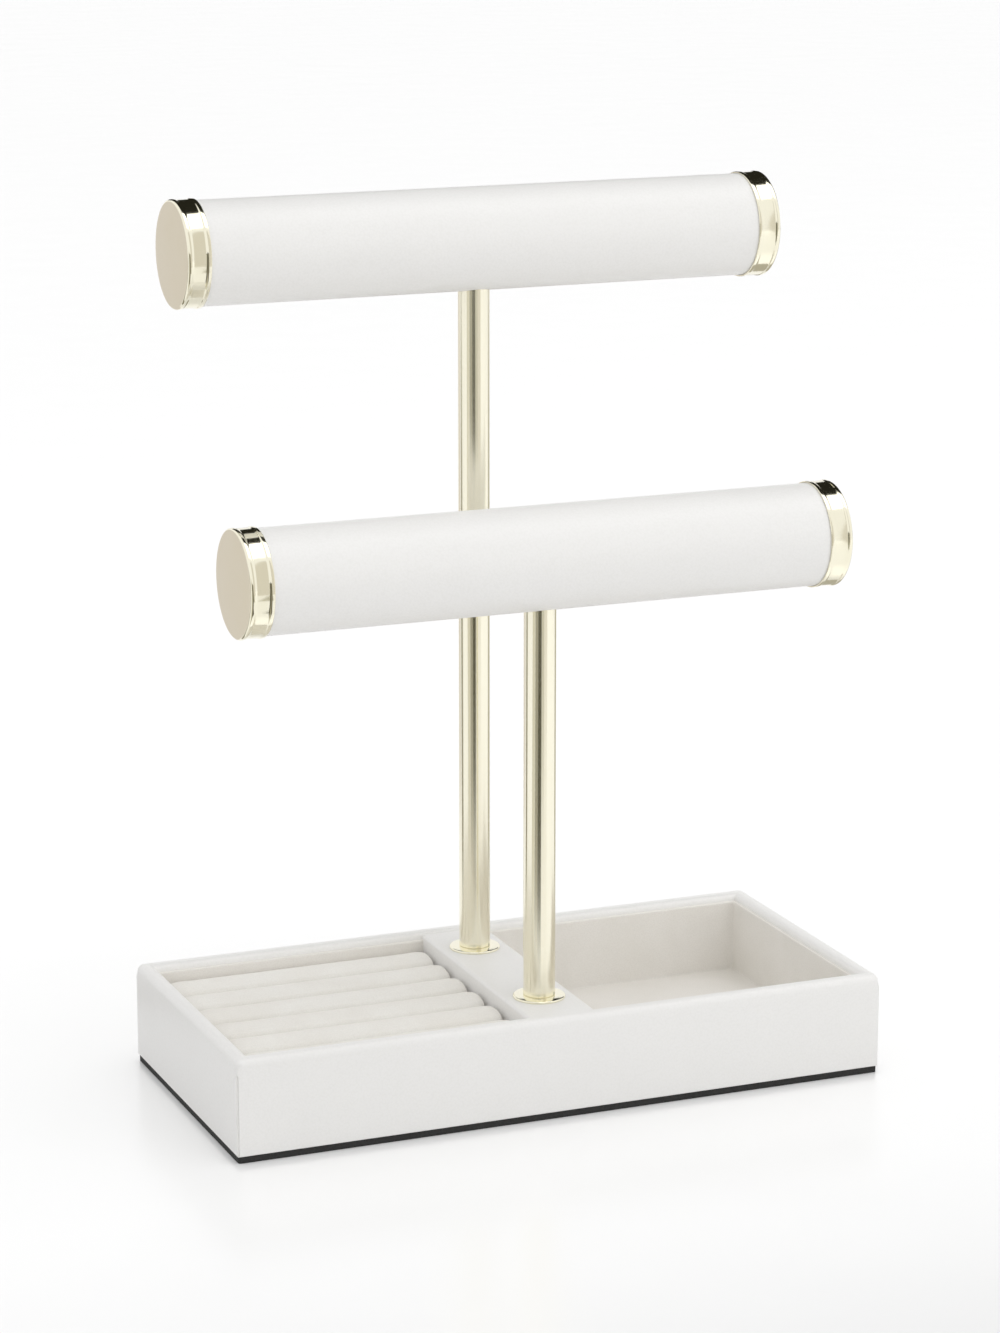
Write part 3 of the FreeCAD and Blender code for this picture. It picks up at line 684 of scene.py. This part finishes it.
def make_surroundings():
    """White studio: even light all round, and a white glossy floor that keeps the stand's shadow."""
    world = bpy.data.worlds.new("white_studio")
    bpy.context.scene.world = world
    world.use_nodes = True
    tree = world.node_tree
    tree.nodes.clear()
    level = add_node(tree, "ShaderNodeBackground", {"Color": linear("#FFFFFF"), "Strength": STUDIO_LEVEL})
    white = add_node(tree, "ShaderNodeBackground", {"Color": linear("#FFFFFF"), "Strength": 1.0})
    either = add_node(tree, "ShaderNodeMixShader", links={
        0: seen_share(tree), 1: level.outputs["Background"], 2: white.outputs["Background"]})
    add_node(tree, "ShaderNodeOutputWorld", links={"Surface": either.outputs["Shader"]})

    # Cast acrylic sheet, polished: a soft mirror image. Its IOR is raised until the image shows on white.
    material, tree, place = new_material("white_studio_acrylic")
    haze = add_node(tree, "ShaderNodeTexNoise", {"Scale": 1 / (60 * MM)}, {"Vector": place})
    gloss = add_node(tree, "ShaderNodeMapRange", {"To Min": 0.19, "To Max": 0.25},
                     {"Value": haze.outputs["Fac"]})
    sheet = add_node(tree, "ShaderNodeBsdfPrincipled", {"Base Color": linear("#F6F6F6"), "IOR": 2.6},
                     {"Roughness": gloss.outputs["Result"]})
    lift = add_node(tree, "ShaderNodeMath", {"operation": "MULTIPLY", 1: FLOOR_LIFT}, {0: seen_share(tree)})
    glow = add_node(tree, "ShaderNodeEmission", links={"Strength": lift.outputs["Value"]})
    both = add_node(tree, "ShaderNodeAddShader", links={0: sheet.outputs["BSDF"], 1: glow.outputs["Emission"]})
    add_node(tree, "ShaderNodeOutputMaterial", links={"Surface": both.outputs["Shader"]})
    bpy.ops.object.select_all(action="DESELECT")
    bpy.ops.mesh.primitive_plane_add(size=FLOOR_SIZE, location=(0, 0, -FLOOR_DROP))
    floor = bpy.context.object
    floor.name = "studio_floor"
    floor.data.materials.append(material)


def card_finish(name, tone):
    """Card that glows at its tone on its face, as a reflection for the plating to show, and is clear from
    behind.
    """
    material, tree, _ = new_material(name)
    side = add_node(tree, "ShaderNodeNewGeometry")
    face = add_node(tree, "ShaderNodeEmission", {"Color": linear(tone)})
    clear = add_node(tree, "ShaderNodeBsdfTransparent")
    either = add_node(tree, "ShaderNodeMixShader", links={
        0: side.outputs["Backfacing"], 1: face.outputs["Emission"], 2: clear.outputs["BSDF"]})
    add_node(tree, "ShaderNodeOutputMaterial", links={"Surface": either.outputs["Shader"]})
    return material


def stage_card(card, finish):
    """Show a card only in the plating's reflections."""
    card.data.materials.append(finish)
    card.visible_camera = False
    card.visible_diffuse = False
    card.visible_transmission = False
    card.visible_shadow = False


def lay_card(finish, azimuth, near, far, spread):
    """Lay a card on the floor that widens away from the stand, along an azimuth from the front."""
    bpy.ops.object.select_all(action="DESELECT")
    bpy.ops.mesh.primitive_plane_add(size=2, location=(0, 0, CARD_LIFT),
                                     rotation=(0, 0, math.radians(azimuth + 180)))
    card = bpy.context.object
    bpy.ops.object.mode_set(mode="EDIT")
    for reach, end in ((near, -1), (far, 1)):
        pick(card, "EDGE", lambda middle, _: abs(middle.y - end) < CLOSE)
        mesh = bmesh.from_edit_mesh(card.data)
        for corner in mesh.verts:
            if corner.select:
                corner.co.x *= reach * math.tan(math.radians(spread))
                corner.co.y = reach
        bmesh.update_edit_mesh(card.data)
    bpy.ops.object.mode_set(mode="OBJECT")
    stage_card(card, finish)


def stand_card(finish, azimuth, distance, spread, height):
    """Stand a card upright in front of the stand, facing it, at an azimuth from the front."""
    angle = math.radians(azimuth)
    bpy.ops.object.select_all(action="DESELECT")
    bpy.ops.mesh.primitive_plane_add(
        size=1, location=(distance * math.sin(angle), -distance * math.cos(angle), height / 2),
        rotation=(math.radians(-90), 0, angle))
    card = bpy.context.object
    card.scale = (2 * distance * math.tan(math.radians(spread)), height, 1)
    stage_card(card, finish)


def hang_card(finish, place, width, height):
    """Hang a card upright behind the stand, facing it."""
    bpy.ops.object.select_all(action="DESELECT")
    bpy.ops.mesh.primitive_plane_add(size=1, location=place, rotation=(math.radians(90), 0, 0))
    card = bpy.context.object
    card.scale = (width, height, 1)
    stage_card(card, finish)


# Soft boxes, overhead and as a fill from the front right: place, point that it is aimed at, width, depth,
# power in watts, and whether it shows in glossy surfaces.
SOFT_BOXES = (
    ((0.8, -0.35, 2.44), (0.8, -0.35, 0.0), 2.24, 1.56, 10.0, True),
    ((1.0, -1.3, 0.6), (0.0, 0.0, 0.05), 1.4, 0.9, 3.6, False),
)
# Cards on the floor: name, tone, azimuth and half width in degrees, near edge, far edge, and the height of a
# card that stands on the far edge, nought for none. The olive ones give the poles a dark stripe with soft
# sides; the last of them starts further out, where the end caps don't show it. The back ones give a stripe
# from behind.
FLOOR_CARDS = (
    ("olive_card", "#D5D2C6", -64, 10, 0.17, 2.6, 0.6),
    ("olive_card", "#9A9688", -43, 10, 0.17, 2.6, 0.6),
    ("olive_card", "#46432F", -22, 11, 0.17, 2.6, 0.6),
    ("olive_card", "#C3C0B4", -2, 9, 0.4, 2.6, 0.6),
    ("back_card", "#A5A194", 157, 9, 0.17, 2.6, 0.0),
    ("back_card", "#8E8A7C", 234, 9, 0.17, 2.6, 0.0),
    ("beige_card", "#DFDBD3", 18, 10.5, 0.74, 2.6, 3.6),
    ("grey_card", "#DAD4D0", 203, 13, 0.3, 5.8, 0.0),
    ("pole_edge_card", "#B8B4A8", 117, 15, 0.14, 2.6, 0.0),
)
# A dark card behind the stand, which the tops of the end caps mirror.
DARK_CARD_TONE = "#25241D"
DARK_CARD_PLACE = (0.55, 0.5, 1.53)
DARK_CARD_WIDTH = 1.5
DARK_CARD_HEIGHT = 2.34


def add_soft_box(place, target, width, depth, power, shows):
    """An area lamp aimed at a point, which may show in glossy surfaces or not."""
    bpy.ops.object.light_add(type="AREA", location=place)
    box = bpy.context.object
    box.rotation_euler = (Vector(target) - Vector(place)).to_track_quat("-Z", "Y").to_euler()
    box.data.shape = "RECTANGLE"
    box.data.size = width
    box.data.size_y = depth
    box.data.energy = power
    box.visible_glossy = shows


def make_lighting():
    """The soft boxes, and the cards that shape the plating's reflections."""
    for box in SOFT_BOXES:
        add_soft_box(*box)
    for name, tone, azimuth, spread, near, far, height in FLOOR_CARDS:
        finish = card_finish(name, tone)
        lay_card(finish, azimuth, near, far, spread)
        if height > 0:
            stand_card(finish, azimuth, far, spread, height)
    hang_card(card_finish("dark_card", DARK_CARD_TONE), DARK_CARD_PLACE, DARK_CARD_WIDTH, DARK_CARD_HEIGHT)


leather = white_leather()
plating = champagne_plating()
tube_plating = drawn_tube_plating()
lining_pile = velvet("lining_velvet", "#EDEAE5", "#E9E6E0", sheen=0.15)
ring_pile = velvet("ring_velvet", "#EFEDE8", "#EBE8E2", sheen=0.2)

make_camera()
make_surroundings()
make_lighting()
make_tray_leather(leather)
make_lining("left", 1, lining_pile)
make_lining("right", -1, lining_pile)
make_bridge_leather(leather)
for tier in ("rear", "front"):
    make_pole(tier, tube_plating, plating)
for tier in ("upper", "lower"):
    make_bar_leather(tier, leather)
    make_end_caps(tier, plating)
make_ring_rolls(ring_pile)
paint_inside_nodes()
bpy.context.scene.view_settings.view_transform = "Standard"
